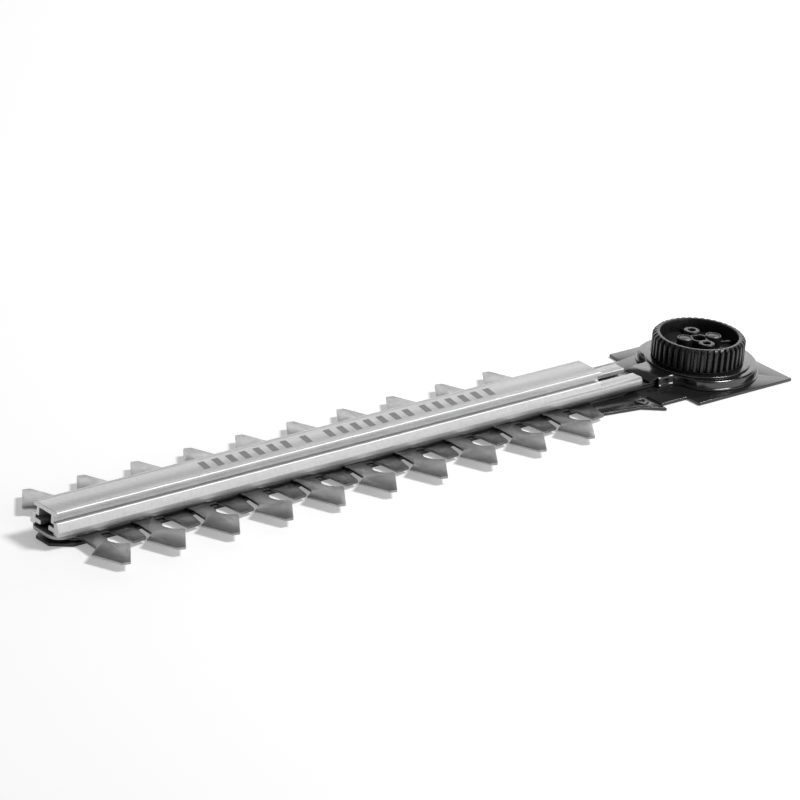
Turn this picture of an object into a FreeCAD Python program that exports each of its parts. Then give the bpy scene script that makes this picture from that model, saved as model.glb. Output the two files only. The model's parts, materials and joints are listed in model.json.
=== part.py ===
import FreeCAD, Part
import math
import os
import Sketcher

# Double-action blade attachment of a small cordless hedge trimmer.  Millimetres, +Z up.
# The origin is the foot of the drive gear's axis on the underside of the base plate.
# The blades point along -X, the base plate slides into the tool with +X first.

SIZES = [
    # teeth
    ("tooth_pitch", 20.0), ("tooth_count", 10), ("last_near_tip", -70.9), ("last_far_tip", -65.4),
    ("long_reach", 28.2), ("short_reach", 16.1), ("tip_flat", 2.4), ("long_barb", 8.7), ("short_barb", 5.5),
    ("barb_reach", 18.2), ("barb_depth", 2.6), ("neck_front", 1.2), ("neck_rear", 5.1), ("hook_radius", 5.0),
    ("short_tooth_lead", 14.3), ("short_root", 4.2), ("short_tip", 2.4), ("root_sink", 0.5),
    # blades
    ("blade_thickness", 0.8), ("spine_half", 6.3), ("spine_lead", 4.1), ("spine_rear", -37.5),
    ("blade_neck_half", 5.1), ("blade_gap", 0.05), ("blade_clearance", 0.1), ("stroke", 8.0),
    # support bar and base plate
    ("plate_thickness", 1.0), ("bar_half", 7.1), ("bar_overhang", 0.4), ("bar_nose_half", 3.2),
    ("bar_nose_length", 5.8), ("bar_rear", -57.3), ("bar_joint", 0.3),
    ("base_side", 2.1), ("base_margin", 1.3), ("near_front", -19.4), ("far_front", -17.3), ("far_slant", 0.6),
    ("throat_half", 16.5), ("throat_front", -30.5),
    ("lug_reach", 20.0), ("lug_rear", -31.4), ("lug_bend", -38.0), ("lug_waist", 15.2), ("lug_front", -53.3),
    ("lug_root", 12.8), ("lug_slit_depth", 9.6),
    ("eyelet_x", -34.9), ("eyelet_y", 12.0), ("eyelet_hole", 1.0), ("eyelet_wall", 0.5), ("eyelet_lip", 0.7),
    # wear strip and guide rail
    ("strip_thickness", 1.1), ("strip_overhang", 1.0), ("strip_corner", 4.0),
    ("rail_lead", 8.8), ("rail_shoulder", -47.3), ("rail_rear", -30.2), ("rail_height", 7.3),
    ("rail_top_half", 5.5), ("flange_thickness", 1.45), ("web_outer", 4.0), ("web_wall", 1.1),
    ("shoulder_half", 5.6), ("shoulder_height", 4.0), ("cheek_half", 6.7), ("cheek_height", 1.3), ("foot_half", 6.8),
    ("lip_half", 1.9), ("lip_low", 0.7), ("lip_high", 2.2), ("slot_half", 4.4), ("slot_top", 3.3),
    ("tail_height", 2.3), ("crease_y", 4.1), ("crease_width", 0.3), ("crease_depth", 0.1), ("edge_break", 0.25),
    # guide screws, their sleeves and the nuts in the rail
    ("screw_count", 5), ("screw_lead", 7.9), ("screw_last", -51.0), ("screw_radius", 1.5),
    ("screw_head", 2.3), ("head_height", 0.55), ("head_sink", 0.05), ("screw_short", 1.05), ("drive_across", 1.6),
    ("drive_depth", 0.3),
    ("sleeve_radius", 2.4),
    ("slide_fit", 0.1), ("seat_fit", 0.02), ("nut_half", 3.9), ("nut_height", 1.0), ("nut_collar", 2.6),
    ("nut_collar_height", 1.6),
    # cover plate
    ("cover_side_room", 3.01), ("cover_sheet", 0.6), ("cover_room", 0.9), ("flange_reach", 0.6),
    ("cover_neck_half", 6.3), ("neck_front_run", 2.95), ("neck_rear_run", 1.05), ("waist_fillet", 4.4),
    ("waist_turn", 10.0), ("waist_bulge", 9.6), ("waist_angle", 115.0), ("lip_run", 3.4), ("lip_drop", 0.85),
    ("rim_round", 0.4),
    # drive gear
    ("gear_radius", 15.0), ("gear_teeth", 42), ("tooth_depth", 1.35), ("gear_gap", 0.1), ("gear_face", 7.5),
    ("rim_radius", 12.6), ("web_rise", 1.75), ("web_thickness", 1.5), ("hub_radius", 7.4), ("hub_gap", 0.05),
    ("boss_sink", 0.9), ("boss_radius", 2.6), ("bore_radius", 2.2), ("bore_boss", 3.3),
    ("pin_circle", 5.0), ("boss_circle", 5.6), ("boss_turn", -18.0), ("boss_hole", 1.05),
    ("gear_chamfer", 1.0), ("rim_chamfer", 0.4), ("rib_half", 0.4), ("rib_height", 1.1), ("gap_top_half", 0.71),
    ("gap_root_half", 0.38),
    # cams, yokes and pivot
    ("cam_wall", 4.5), ("yoke_wall", 1.3), ("yoke_play", 0.22), ("stud_radius", 2.4), ("stud_fit", 0.05), ("stud_tail", 1.6),
    ("rivet_radius", 0.8), ("rivet_head", 1.85), ("rivet_head_height", 0.35),
    # disc, thrust ring, bush and felt
    ("disc_inset", 2.3), ("disc_thickness", 0.5), ("ring_inner", 12.8), ("ring_outer", 14.4),
    ("ring_thickness", 0.3), ("bush_wall", 1.0), ("bush_fit", 0.05), ("bush_flange", 1.2), ("bush_rise", 0.3),
    ("felt_room", 0.56), ("felt_gap", 0.3), ("felt_half_angle", 40.0), ("felt_height", 2.2),
]


class Dim:
    """A size that is both a number and the spreadsheet expression that gives it."""

    def __init__(self, value, text):
        self.value = value
        self.text = text

    def join(self, other, symbol, value, reverse=False):
        texts = [self.text, dim(other).text]
        if reverse:
            texts.reverse()
        return Dim(value, "(" + texts[0] + symbol + texts[1] + ")")

    def __add__(self, other):
        return self.join(other, " + ", self.value + dim(other).value)

    def __radd__(self, other):
        return dim(other) + self

    def __sub__(self, other):
        return self.join(other, " - ", self.value - dim(other).value)

    def __rsub__(self, other):
        return dim(other) - self

    def __mul__(self, other):
        return self.join(other, " * ", self.value * dim(other).value)

    def __rmul__(self, other):
        return dim(other) * self

    def __truediv__(self, other):
        return self.join(other, " / ", self.value / dim(other).value)

    def __neg__(self):
        return dim(0) - self


def dim(number):
    return number if isinstance(number, Dim) else Dim(float(number), repr(float(number)))


def turned(radius, degrees):
    """The point at this radius and angle about the Z axis."""
    angle = dim(degrees)
    x = Dim(math.cos(math.radians(angle.value)), "cos(" + angle.text + " * 1 deg)")
    y = Dim(math.sin(math.radians(angle.value)), "sin(" + angle.text + " * 1 deg)")
    return radius * x, radius * y


doc = FreeCAD.newDocument("BladeAttachment")
sheet = doc.addObject("Spreadsheet::Sheet", "Sizes")
for row, (alias, number) in enumerate(SIZES, start=1):
    sheet.set("A" + str(row), alias)
    sheet.set("B" + str(row), str(number))
    sheet.setAlias("B" + str(row), alias)
doc.recompute()
size = {alias: Dim(number, "Sizes." + alias) for alias, number in SIZES}


class Piece:
    """One sub-part: a body whose features are drawn from sizes in the sheet."""

    def __init__(self, label):
        self.body = doc.addObject("PartDesign::Body", label)
        self.body.Label = label
        self.count = 0

    def origin(self, role):
        return next(item for item in self.body.Origin.OriginFeatures if item.Role == role)

    def sketch(self, plane, height, outlines):
        self.count += 1
        sketch = self.body.newObject("Sketcher::SketchObject", self.body.Name + "Sketch" + str(self.count))
        sketch.AttachmentSupport = [(self.origin(plane), "")]
        sketch.MapMode = "FlatFace"
        sketch.setExpression("AttachmentOffset.Base.z", dim(height).text)
        for outline in outlines:
            outline(sketch)
        return sketch

    def feature(self, kind, sketch, length=None):
        self.count += 1
        feature = self.body.newObject("PartDesign::" + kind, self.body.Name + kind + str(self.count))
        feature.Profile = sketch
        if length is not None:
            feature.setExpression("Length", dim(length).text)
        return feature

    def pad(self, low, thickness, *outlines, plane="XY_Plane"):
        return self.feature("Pad", self.sketch(plane, low, outlines), thickness)

    def cut(self, high, depth, *outlines, plane="XY_Plane"):
        return self.feature("Pocket", self.sketch(plane, high, outlines), depth)

    def turn(self, *outlines, kind="Revolution"):
        feature = self.feature(kind, self.sketch("XZ_Plane", 0, outlines))
        feature.ReferenceAxis = (self.origin("Z_Axis"), [""])
        feature.Angle = 360.0
        return feature

    def pattern(self, kind, originals, role, occurrences):
        self.count += 1
        pattern = self.body.newObject("PartDesign::" + kind, self.body.Name + kind + str(self.count))
        pattern.Originals = originals
        setattr(pattern, "Direction" if kind == "LinearPattern" else "Axis", (self.origin(role), [""]))
        pattern.setExpression("Occurrences", dim(occurrences).text)
        self.body.Tip = pattern
        return pattern

    def row(self, originals, spacing, occurrences):
        """Copies of the features along +X."""
        pattern = self.pattern("LinearPattern", originals, "X_Axis", occurrences)
        pattern.setExpression("Length", (dim(spacing) * (dim(occurrences) - 1)).text)
        return pattern

    def around(self, originals, occurrences):
        """Copies of the features about the Z axis."""
        pattern = self.pattern("PolarPattern", originals, "Z_Axis", occurrences)
        pattern.Angle = 360.0
        return pattern


def bind(sketch, kind, place, wanted):
    index = sketch.addConstraint(Sketcher.Constraint(kind, *place, wanted.value))
    sketch.setExpression("Constraints[" + str(index) + "]", wanted.text)


def circle(radius, x=0.0, y=0.0):
    """A circle; its centre and radius are bound to the sheet."""
    radius, x, y = dim(radius), dim(x), dim(y)

    def add(sketch):
        centre = FreeCAD.Vector(x.value, y.value, 0)
        edge = sketch.addGeometry(Part.Circle(centre, FreeCAD.Vector(0, 0, 1), radius.value), False)
        bind(sketch, "Radius", (edge,), radius)
        bind(sketch, "DistanceX", (edge, 3), x)
        bind(sketch, "DistanceY", (edge, 3), y)
    return add


def arc_between(start, end, radius):
    """An arc from start to end: its centre is on the left for a positive radius."""
    chord = end - start
    height = math.sqrt(max(radius * radius - chord.Length * chord.Length / 4, 0.0))
    side = FreeCAD.Vector(-chord.y, chord.x, 0).normalize() * (height if radius > 0 else -height)
    centre = (start + end) * 0.5 + side
    first, last = (start, end) if radius > 0 else (end, start)
    angles = [math.atan2(point.y - centre.y, point.x - centre.x) for point in (first, last)]
    if angles[1] <= angles[0]:
        angles[1] += 2 * math.pi
    return Part.ArcOfCircle(Part.Circle(centre, FreeCAD.Vector(0, 0, 1), abs(radius)), *angles)


def outline(*corners):
    """A closed outline; a corner with a third value starts an arc of that radius."""
    corners = [tuple(dim(value) for value in corner) for corner in corners]

    def add(sketch):
        ends = []
        for index, corner in enumerate(corners):
            following = corners[(index + 1) % len(corners)]
            start = FreeCAD.Vector(corner[0].value, corner[1].value, 0)
            end = FreeCAD.Vector(following[0].value, following[1].value, 0)
            if len(corner) == 3:
                edge = sketch.addGeometry(arc_between(start, end, corner[2].value), False)
                ends.append((edge, 1, 2) if corner[2].value > 0 else (edge, 2, 1))
            else:
                edge = sketch.addGeometry(Part.LineSegment(start, end), False)
                ends.append((edge, 1, 2))
        for index, (edge, start, end) in enumerate(ends):
            following = ends[(index + 1) % len(ends)]
            sketch.addConstraint(Sketcher.Constraint("Coincident", edge, end, following[0], following[1]))
            bind(sketch, "DistanceX", (edge, start), corners[index][0])
            bind(sketch, "DistanceY", (edge, start), corners[index][1])
            if len(corners[index]) == 3:
                radius = corners[index][2]
                bind(sketch, "Radius", (edge,), radius if radius.value > 0 else -radius)
    return add


def mirrored(*corners, flip=1):
    """A closed outline with two like halves: corners give one, and flip is the coordinate that changes sign."""
    corners = [tuple(dim(value) for value in corner) for corner in corners]
    other = []
    for index in range(len(corners) - 1, -1, -1):
        place = [corners[index][0], corners[index][1]]
        place[flip] = -place[flip]
        bent = corners[index - 1][2:] if index > 0 else ()
        other.append((*place, *bent))
    return outline(*corners, *other)


def slot(x_low, x_high, radius, y=0.0):
    """A slot with round ends, along X."""
    x_low, x_high, radius, y = dim(x_low), dim(x_high), dim(radius), dim(y)
    return outline((x_low, y - radius), (x_high, y - radius, radius), (x_high + radius, y, radius),
                   (x_high, y + radius), (x_low, y + radius, radius), (x_low - radius, y, radius))


def cross_slot(y_low, y_high, radius, x=0.0):
    """A slot with round ends, along Y."""
    y_low, y_high, radius, x = dim(y_low), dim(y_high), dim(radius), dim(x)
    return outline((x + radius, y_low), (x + radius, y_high, radius), (x, y_high + radius, radius),
                   (x - radius, y_high), (x - radius, y_low, radius), (x, y_low - radius, radius))


# heights of the stack, from the underside of the bar and base plate upwards
bar_top = size["plate_thickness"]
lower_low = bar_top + size["blade_clearance"]
lower_high = lower_low + size["blade_thickness"]
upper_low = lower_high + size["blade_gap"]
upper_high = upper_low + size["blade_thickness"]
strip_low = upper_high + size["blade_clearance"]
rail_low = strip_low + size["strip_thickness"]
rail_high = rail_low + size["rail_height"]
cover_under = upper_high + size["cover_room"]
cover_high = cover_under + size["cover_sheet"]
disc_high = cover_high + size["disc_thickness"]
gear_low = disc_high + size["ring_thickness"] + size["gear_gap"]
gear_high = gear_low + size["gear_face"]
web_low = gear_low + size["web_rise"]
web_high = web_low + size["web_thickness"]
hub_low = upper_high + size["hub_gap"]
boss_high = gear_high - size["boss_sink"]
nut_low = rail_low + size["lip_high"]
nut_high = nut_low + size["nut_height"] + size["nut_collar_height"]

# lengths along the blades, from the last teeth forwards
teeth_run = size["tooth_pitch"] * (size["tooth_count"] - 1)
near_tip = size["last_near_tip"] - teeth_run
far_tip = size["last_far_tip"] - teeth_run
rail_front = near_tip - size["rail_lead"]
bar_front = rail_front - size["bar_overhang"]
spine_front = near_tip - size["spine_lead"]
screw_first = near_tip + size["screw_lead"]
screw_spacing = (size["screw_last"] - screw_first) / (size["screw_count"] - 1)

# sizes that follow from the fits
throw = size["stroke"] / 2
cam_radius = throw + size["cam_wall"]
yoke_inner = cam_radius + throw * size["yoke_play"] + size["slide_fit"]
yoke_outer = yoke_inner + size["yoke_wall"]
yoke_reach = yoke_outer + throw * math.sqrt(2)
cover_radius = yoke_reach + size["cover_side_room"]
neck_front = -cover_radius - size["neck_front_run"]
neck_rear = size["neck_rear_run"] - cover_radius
base_half = cover_radius + size["flange_reach"] + size["base_side"]
base_rear = cover_radius + size["flange_reach"] + size["base_margin"]
screw_hole = size["screw_radius"] + size["slide_fit"]
head_hole = size["screw_head"] + size["slide_fit"]
head_recess = size["head_sink"] + size["head_height"]
bush_inner = size["hub_radius"] + size["bush_fit"]
bush_outer = bush_inner + size["bush_wall"]
bush_hole = bush_outer + size["seat_fit"]
eyelet_outer = size["eyelet_hole"] + size["eyelet_wall"]
rivet_places = [turned(size["pin_circle"], size["boss_turn"] + half_turn) for half_turn in (0, 180)]
boss_places = [turned(size["boss_circle"], size["boss_turn"] + quarter) for quarter in (90, 270)]


def screw_x(index):
    return screw_first + screw_spacing * index


def long_tooth(tip, side, hook):
    """A barbed tooth: side is +1 or -1 along Y, hook is the X direction of its larger barb."""
    half_flat = size["tip_flat"] / 2
    reach = side * size["barb_reach"]
    back = tip + hook * size["long_barb"]
    heel = tip + hook * size["neck_rear"]
    toe = tip - hook * size["neck_front"]
    root = side * (size["spine_half"] - size["root_sink"])
    return outline(
        (toe - hook * 0.9, root),
        (toe, side * (size["spine_half"] + 2.2)),
        (toe - hook * 0.4, reach - side * size["barb_depth"]),
        (tip - hook * size["short_barb"], reach),
        (tip - hook * half_flat, side * (size["long_reach"] - 0.6)),
        (tip + hook * half_flat, side * size["long_reach"]),
        (back, reach),
        (back - hook * 0.3, reach - side * 0.8, side * hook * size["hook_radius"]),
        (heel, side * (size["barb_reach"] - 6.2)),
        (heel, side * (size["spine_half"] + 2.6)),
        (heel + hook * 1.4, root),
    )


def short_tooth(tip, side, hook):
    """A blunt tooth between two barbed ones: hook is the X direction of its long sloping edge."""
    root = side * (size["spine_half"] - size["root_sink"])
    return outline(
        (tip - hook * (size["short_root"] + 0.6), root),
        (tip - hook * (size["short_root"] - 1.0), side * (size["spine_half"] + 3.6)),
        (tip - hook * (size["short_tip"] + 0.3), side * size["short_reach"]),
        (tip + hook * size["short_tip"], side * (size["short_reach"] - 0.5)),
        (tip + hook * (size["short_root"] + 0.2), root),
    )


def blade(label, low, near_teeth, far_teeth):
    """A blade: like teeth in a row on each side of its spine, and a yoke round its cam."""
    piece = Piece(label)
    thickness = size["blade_thickness"]
    high = low + thickness
    piece.pad(low, thickness, mirrored(
        (spine_front, size["spine_half"] - 2),
        (spine_front + 2, size["spine_half"]),
        (size["spine_rear"], size["spine_half"]),
        (size["spine_rear"] + 3, size["blade_neck_half"]),
        (-yoke_inner - 0.8, size["blade_neck_half"])))
    teeth = [piece.pad(low, thickness, near_teeth), piece.pad(low, thickness, far_teeth)]
    piece.row(teeth, size["tooth_pitch"], size["tooth_count"])
    piece.pad(low, thickness, cross_slot(-throw, throw, yoke_outer))
    piece.cut(high, thickness, cross_slot(-throw, throw, yoke_inner))
    guide = size["sleeve_radius"] + size["slide_fit"]
    opening = piece.cut(high, thickness, slot(screw_x(0) - throw, screw_x(0) + throw, guide))
    piece.row([opening], screw_spacing, size["screw_count"])


def blades():
    """The upper blade has every barbed tooth, the lower one every blunt tooth."""
    lead = size["short_tooth_lead"]
    blade("upper_blade", upper_low, long_tooth(near_tip, -1, 1), long_tooth(far_tip, 1, -1))
    blade("lower_blade", lower_low, short_tooth(near_tip + lead, -1, 1),
          short_tooth(far_tip + size["tooth_pitch"] - lead, 1, -1))


def screw_holes(piece, first):
    """A hole for a guide screw, with a recess for its head on the underside."""
    hole = piece.cut(bar_top, bar_top, circle(screw_hole, first))
    recess = piece.cut(head_recess, head_recess, circle(head_hole, first))
    return [hole, recess]


def support_bar():
    """The black steel bar that carries the lower blade."""
    piece = Piece("support_bar")
    piece.pad(0, bar_top, mirrored(
        (bar_front, size["bar_nose_half"]),
        (bar_front + size["bar_nose_length"], size["bar_half"]),
        (size["bar_rear"] - size["bar_joint"], size["bar_half"])))
    piece.row(screw_holes(piece, screw_x(0)), screw_spacing, size["screw_count"] - 1)


def base_plate():
    """The flat plate that slides into the tool, with a lug on each side of its neck."""
    piece = Piece("base_plate")
    neck = [
        (size["bar_rear"], size["bar_half"]),
        (size["lug_front"], size["lug_root"]),
        (size["lug_bend"], size["lug_waist"]),
        (size["lug_rear"], size["lug_reach"]),
        (size["lug_rear"], size["lug_slit_depth"]),
        (size["throat_front"], size["lug_slit_depth"]),
        (size["throat_front"], size["throat_half"])]
    far = [(size["far_front"] - size["far_slant"], size["throat_half"]), (size["far_front"], base_half)]
    near = [(base_rear, -base_half), (size["near_front"], -base_half), (size["near_front"], -size["throat_half"])]
    piece.pad(0, bar_top, outline(
        *neck, *far, (base_rear, base_half), *near, *[(x, -y) for x, y in reversed(neck)]))
    screw_holes(piece, screw_x(size["screw_count"] - 1))
    seat = eyelet_outer + size["seat_fit"]
    piece.cut(bar_top, bar_top, circle(size["stud_tail"] + size["seat_fit"]),
              circle(seat, size["eyelet_x"], size["eyelet_y"]), circle(seat, size["eyelet_x"], -size["eyelet_y"]))


def wear_strip():
    """The thin bright strip between the rail and the upper blade."""
    piece = Piece("wear_strip")
    front = rail_front - size["strip_overhang"]
    half = size["foot_half"] - 0.1
    corner = size["strip_corner"]
    piece.pad(strip_low, size["strip_thickness"], outline(
        (front, -(half - corner), corner),
        (front + corner, -half),
        (size["rail_rear"], -half),
        (size["rail_rear"], half),
        (front + corner, half, corner),
        (front, half - corner)))
    hole = piece.cut(rail_low, size["strip_thickness"], circle(screw_hole, screw_x(0)))
    piece.row([hole], screw_spacing, size["screw_count"])


def guide_rail():
    """The aluminium rail: a flanged top on two webs, and two feet whose lips hold the nuts."""
    piece = Piece("guide_rail")
    flange_low = rail_high - size["flange_thickness"]
    web_inner = size["web_outer"] - size["web_wall"]
    edge = size["edge_break"]
    section = mirrored(
        (size["rail_top_half"] - edge, rail_high),
        (size["rail_top_half"], rail_high - edge),
        (size["rail_top_half"], flange_low),
        (size["web_outer"], flange_low),
        (size["web_outer"], rail_low + size["shoulder_height"]),
        (size["shoulder_half"], rail_low + size["shoulder_height"] - 0.1),
        (size["cheek_half"], rail_low + size["cheek_height"]),
        (size["foot_half"], rail_low),
        (size["slot_half"], rail_low),
        (size["slot_half"], rail_low + size["lip_low"]),
        (size["lip_half"], rail_low + size["lip_low"]),
        (size["lip_half"], rail_low + size["lip_high"]),
        (size["slot_half"], rail_low + size["lip_high"]),
        (size["slot_half"], rail_low + size["slot_top"]),
        (web_inner, rail_low + size["slot_top"]),
        (web_inner, flange_low),
        flip=0)
    length = size["rail_rear"] - rail_front
    piece.pad(rail_front, length, section, plane="YZ_Plane")
    creases = [outline((y - size["crease_width"] / 2, rail_high), (y, rail_high - size["crease_depth"]),
                       (y + size["crease_width"] / 2, rail_high))
               for y in (size["crease_y"], -size["crease_y"])]
    piece.cut(size["rail_rear"], length, *creases, plane="YZ_Plane")
    tail_top = rail_low + size["tail_height"]
    piece.cut(rail_high, rail_high - tail_top, outline(
        (size["rail_shoulder"], -size["foot_half"]), (size["rail_rear"] + 1, -size["foot_half"]),
        (size["rail_rear"] + 1, size["foot_half"]), (size["rail_shoulder"], size["foot_half"])))


def cover_outline(grow, front):
    """The plan of the cover: a disc that swings in to a narrow neck, larger all round by grow."""
    half = size["cover_neck_half"] + grow
    radius = cover_radius + grow
    fillet = size["waist_fillet"] - grow
    bulge = size["waist_bulge"] + grow
    in_x, in_y = turned(fillet, size["waist_turn"])
    in_x, in_y = neck_rear + in_x, size["cover_neck_half"] + size["waist_fillet"] - in_y
    x, y = turned(radius, size["waist_angle"])
    return outline(
        (front, half), (front, -half), (neck_rear, -half, -fillet), (in_x, -in_y, bulge), (x, -y, radius),
        (radius, 0, radius), (x, y, bulge), (in_x, in_y, -fillet), (neck_rear, half))


def cover_plate():
    """The pressed steel cover over the cams, with a flange below and a bent lip at the front."""
    piece = Piece("cover_plate")
    sheet_metal = size["cover_sheet"]
    front = neck_front
    piece.pad(bar_top, cover_under + sheet_metal - bar_top, cover_outline(0, front))
    piece.pad(bar_top, sheet_metal, cover_outline(size["flange_reach"], front))
    piece.cut(cover_under, cover_under - bar_top, cover_outline(-sheet_metal, front - 1))
    lip_end = front - size["lip_run"]
    lip = piece.feature("Pad", piece.sketch("XZ_Plane", 0, [outline(
        (front + 0.5, cover_under), (front + 0.5, cover_high), (front, cover_high),
        (lip_end, cover_high - size["lip_drop"]), (lip_end, cover_under - size["lip_drop"]),
        (front, cover_under))]), size["cover_neck_half"] * 2)
    lip.Midplane = True
    rim = size["rim_round"]
    piece.turn(outline(
        (cover_radius - rim, cover_high + 0.1),
        (cover_radius - rim, cover_high),
        (cover_radius, cover_high - rim),
        (cover_radius + 0.1, cover_high - rim),
        (cover_radius + 0.1, cover_high + 0.1)), kind="Groove")
    piece.cut(cover_high, sheet_metal, circle(bush_hole))


def drive_gear():
    """The black nylon cup gear with its hub, four bosses and ribs."""
    piece = Piece("drive_gear")
    outer, inner = size["gear_radius"], size["rim_radius"]
    high, low = gear_high, gear_low
    piece.turn(outline(
        (size["bore_radius"], hub_low), (size["hub_radius"], hub_low),
        (size["hub_radius"], web_low), (inner, web_low), (inner, low), (outer, low),
        (outer, high - size["gear_chamfer"]), (outer - size["gear_chamfer"], high),
        (inner + size["rim_chamfer"], high), (inner, high - size["rim_chamfer"]), (inner, web_high),
        (size["bore_boss"], web_high), (size["bore_boss"], boss_high - 0.5),
        (size["bore_radius"], boss_high - 0.5)))
    for x, y in rivet_places + boss_places:
        piece.pad(web_high, boss_high - web_high, circle(size["boss_radius"], x, y))
    piece.cut(high, high - hub_low, circle(size["bore_radius"]))
    for x, y in rivet_places:
        piece.cut(boss_high, size["rivet_head_height"], circle(size["rivet_head"] + 0.2, x, y))
        piece.cut(high, high - hub_low, circle(size["rivet_radius"] + size["seat_fit"], x, y))
    for x, y in boss_places:
        piece.cut(boss_high, boss_high - web_high, circle(size["boss_hole"], x, y))
    for quarter in (0, 90, 180, 270):
        rib(piece, size["boss_turn"] + quarter)
    root = outer - size["tooth_depth"]
    gap = piece.cut(high, high - low, outline(
        (root, -size["gap_root_half"]), (outer + 0.2, -size["gap_top_half"]),
        (outer + 0.2, size["gap_top_half"]), (root, size["gap_root_half"])))
    piece.around([gap], size["gear_teeth"])


def rib(piece, angle):
    """A thin rib on the web from a boss to the rim."""
    start, end = size["boss_circle"] + size["boss_radius"] - 0.5, size["rim_radius"] + 0.3
    along, across = turned(dim(1), angle)
    half = size["rib_half"]
    corners = [(start, -half), (end, -half), (end, half), (start, half)]
    piece.pad(web_high, size["rib_height"], outline(
        *[(out * along - side * across, out * across + side * along) for out, side in corners]))


def cam(label, low, y):
    """A cam disc: its centre is off the gear's axis by the throw."""
    piece = Piece(label)
    piece.pad(low, size["blade_thickness"], circle(cam_radius, 0, y))
    holes = [circle(size["rivet_radius"] + size["seat_fit"], *place) for place in rivet_places]
    piece.cut(low + size["blade_thickness"], size["blade_thickness"],
              circle(size["stud_radius"] + size["stud_fit"]), *holes)


def grease_felt():
    """A felt pad behind the yokes that keeps them greased."""
    piece = Piece("grease_felt")
    outer = cover_radius - size["cover_sheet"] - size["felt_gap"]
    inner = yoke_reach + size["felt_room"]
    half = size["felt_half_angle"]
    piece.pad(bar_top, size["felt_height"], outline(
        (*turned(outer, -half), outer), turned(outer, half),
        (*turned(inner, half), -inner), turned(inner, -half)))


def bound(kind, name, low, x=0.0, y=0.0, **lengths):
    """A Part primitive whose lengths and place are bound to the sheet."""
    item = doc.addObject("Part::" + kind, name)
    for key, wanted in lengths.items():
        item.setExpression(key, dim(wanted).text)
    for axis, wanted in zip("xyz", (x, y, low)):
        item.setExpression("Placement.Base." + axis, dim(wanted).text)
    return item


def cylinder(name, radius, low, height, x=0.0, y=0.0):
    return bound("Cylinder", name, low, x, y, Radius=radius, Height=height)


def joined(name, *items):
    result = doc.addObject("Part::MultiFuse", name)
    result.Shapes = items
    return result


def hollow(name, item, tool):
    result = doc.addObject("Part::Cut", name)
    result.Base = item
    result.Tool = tool
    return result


def group(label, items):
    result = doc.addObject("Part::Compound", label)
    result.Links = items
    result.Label = label
    return result


def tube(name, outer, inner, low, height, x=0.0, y=0.0):
    return hollow(name, cylinder(name + "Outer", outer, low, height, x, y),
                  cylinder(name + "Inner", inner, low, height, x, y))


def guide_screws():
    """Low-head screws from the underside, with a hexagon recess."""
    screws = []
    for index in range(int(size["screw_count"].value)):
        name = "screw" + str(index)
        head_low = size["head_sink"]
        head_high = head_low + size["head_height"]
        head = cylinder(name + "Head", size["screw_head"], head_low, size["head_height"], screw_x(index))
        shank = cylinder(name + "Shank", size["screw_radius"], head_high,
                         nut_high - size["screw_short"] - head_high, screw_x(index))
        drive = bound("Prism", name + "Drive", head_low, screw_x(index), Circumradius=size["drive_across"] / 2,
                      Height=size["drive_depth"])
        screws.append(hollow(name, joined(name + "Blank", head, shank), drive))
    return group("guide_screws", screws)


def guide_sleeves():
    """Hardened sleeves in the blades' slots."""
    return group("guide_sleeves", [
        tube("sleeve" + str(index), size["sleeve_radius"], size["screw_radius"] + size["bush_fit"], bar_top,
             strip_low - bar_top, screw_x(index))
        for index in range(int(size["screw_count"].value))])


def rail_nuts():
    """Square collar nuts that rest on the rail's lips."""
    nuts = []
    low = nut_low
    for index in range(int(size["screw_count"].value)):
        name = "nut" + str(index)
        plate = bound("Box", name + "Plate", low, screw_x(index) - size["nut_half"], -size["nut_half"],
                      Length=size["nut_half"] * 2, Width=size["nut_half"] * 2, Height=size["nut_height"])
        collar = cylinder(name + "Collar", size["nut_collar"], low + size["nut_height"],
                          size["nut_collar_height"], screw_x(index))
        hole = cylinder(name + "Hole", size["screw_radius"] + size["seat_fit"], low,
                        size["nut_height"] + size["nut_collar_height"], screw_x(index))
        nuts.append(hollow(name, joined(name + "Blank", plate, collar), hole))
    return group("rail_nuts", nuts)


def cam_rivets():
    """Two rivets that hold the cams to the gear."""
    rivets = []
    for index, (x, y) in enumerate(rivet_places):
        name = "rivet" + str(index)
        head_low = boss_high - size["rivet_head_height"]
        head = cylinder(name + "Head", size["rivet_head"], head_low, size["rivet_head_height"], x, y)
        shank = cylinder(name + "Shank", size["rivet_radius"], lower_low, head_low - lower_low, x, y)
        rivets.append(joined(name, head, shank))
    return group("cam_rivets", rivets)


def lug_eyelets():
    """Hollow rivets in the base plate's lugs."""
    eyelets = []
    for index, y in enumerate((size["eyelet_y"], -size["eyelet_y"])):
        name = "eyelet" + str(index)
        x = size["eyelet_x"]
        lip = cylinder(name + "Lip", eyelet_outer + size["eyelet_lip"], bar_top, size["eyelet_lip"] / 2, x, y)
        barrel = cylinder(name + "Barrel", eyelet_outer, 0, bar_top, x, y)
        hole = cylinder(name + "Hole", size["eyelet_hole"], 0, bar_top + size["eyelet_lip"] / 2, x, y)
        eyelets.append(hollow(name, joined(name + "Blank", lip, barrel), hole))
    return group("lug_eyelets", eyelets)


def cover_disc():
    disc = tube("disc", cover_radius - size["disc_inset"], bush_hole, cover_high, size["disc_thickness"])
    return group("cover_disc", [disc])


def thrust_ring():
    return group("thrust_ring", [
        tube("ring", size["ring_outer"], size["ring_inner"], disc_high, size["ring_thickness"])])


def gear_bush():
    """The bronze bush in the cover that the gear's hub turns in."""
    low = upper_high + size["bush_rise"]
    flange = cylinder("bushFlange", bush_outer + size["bush_flange"], low, cover_under - low)
    barrel = cylinder("bushBarrel", bush_outer, cover_under, disc_high - cover_under)
    bore = cylinder("bushBore", bush_inner, low, disc_high - low)
    return group("gear_bush", [hollow("bush", joined("bushBlank", flange, barrel), bore)])


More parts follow.
